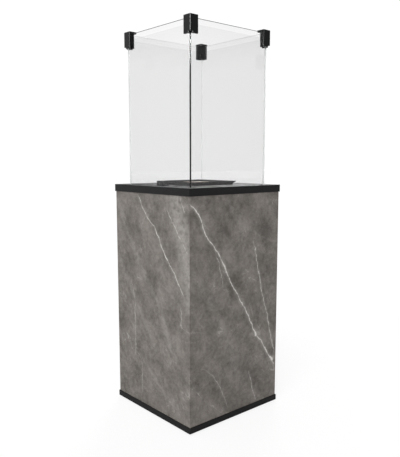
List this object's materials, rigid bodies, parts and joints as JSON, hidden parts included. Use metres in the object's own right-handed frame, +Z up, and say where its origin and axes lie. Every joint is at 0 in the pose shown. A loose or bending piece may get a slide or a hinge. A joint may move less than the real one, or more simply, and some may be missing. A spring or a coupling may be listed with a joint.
{
  "type": "display plinth with gas fire top",
  "caption": "Square stone-clad plinth on a black steel base, with a black deck, a low square burner tray and clear panes held by black corner clips.",
  "frame": {"origin": "on the floor at the centre of the base", "axes": "+Z up; the door and the controls are on the +Y side, -Y and -X are plain clad faces"},
  "size_m": [0.42, 0.42, 1.333],
  "materials": {
    "black_powder_coat": "fine matt black powder coat on folded steel",
    "clip_casting": "satin black powder coat on die-cast metal",
    "stone": "matt grey-brown sintered stone with pale veins",
    "zinc_steel": "dull zinc-plated steel",
    "stainless_steel": "satin stainless steel",
    "aluminium_channel": "mill-finish aluminium",
    "guard_glass": "clear toughened glass with polished edges",
    "silicone": "matt black silicone rubber",
    "brass": "machined brass",
    "copper_pipe": "drawn copper pipe",
    "spark_ceramic": "white alumina",
    "black_nylon": "moulded black nylon",
    "red_nylon": "moulded red nylon"
  },
  "bodies": {
    "cabinet": {"backing_front": "zinc_steel", "backing_left": "zinc_steel", "backing_right": "zinc_steel", "base_tray": "black_powder_coat", "burner_plate": "stainless_steel", "burner_plenum": "stainless_steel", "burner_tray": "black_powder_coat", "clip_blocks": "clip_casting", "clip_covers": "clip_casting", "clip_pads": "silicone", "clip_screws": "zinc_steel", "control_niche": "black_powder_coat", "control_panel": "black_powder_coat", "cylinder_seat": "black_powder_coat", "deck_border": "black_powder_coat", "deck_plate": "black_powder_coat", "foot_screws": "zinc_steel", "frame_screws": "zinc_steel", "gas_inlet": "brass", "gas_valve": "brass", "glass_channels": "aluminium_channel", "glass_gaskets": "silicone", "heat_shield": "stainless_steel", "igniter_body": "black_nylon", "igniter_nut": "stainless_steel", "injector": "brass", "inlet_pipe": "copper_pipe", "magnet_catch": "black_nylon", "mixer_tube": "stainless_steel", "pane_front": "guard_glass", "pane_left": "guard_glass", "pane_rear": "guard_glass", "pane_right": "guard_glass", "panel_screws": "zinc_steel", "pilot_burner": "stainless_steel", "pilot_guard": "black_powder_coat", "pilot_pipe": "copper_pipe", "pivot_bushes": "black_nylon", "post_front_left": "zinc_steel", "post_front_right": "zinc_steel", "post_rear_left": "zinc_steel", "post_rear_right": "zinc_steel", "rubber_feet": "silicone", "shield_standoffs": "zinc_steel", "spark_electrode": "spark_ceramic", "stone_front": "stone", "stone_left": "stone", "stone_right": "stone", "supply_pipe": "copper_pipe", "thermocouple": "stainless_steel", "top_frame": "black_powder_coat"},
    "door": {"door_frame": "black_powder_coat", "door_stone": "stone", "door_pull": "black_nylon", "door_pins": "zinc_steel", "door_strike": "zinc_steel"},
    "control_push": {"valve_pushrod": "stainless_steel"},
    "control_turn": {"valve_spindle": "stainless_steel", "control_knob": "black_nylon"},
    "igniter_button": {"igniter_button": "red_nylon"}
  },
  "joints": [
    {"name": "door_hinge", "type": "hinge", "parent": "cabinet", "child": "door", "pos_m": [0.195, 0.203, 0.3435], "axis": [0, 0, -1], "range_deg": [0, 100]},
    {"name": "knob_push", "type": "slide", "parent": "cabinet", "child": "control_push", "axis": [0, -1, 0], "range_m": [0, 0.004], "stiffness_N_per_m": 800, "springref_m": -0.002},
    {"name": "knob_turn", "type": "hinge", "parent": "control_push", "child": "control_turn", "pos_m": [0.035, 0.165, 0.714], "axis": [0, 1, 0], "range_deg": [0, 180]},
    {"name": "igniter_press", "type": "slide", "parent": "cabinet", "child": "igniter_button", "axis": [0, -1, 0], "range_m": [0, 0.006], "stiffness_N_per_m": 1000, "springref_m": -0.003}
  ]
}
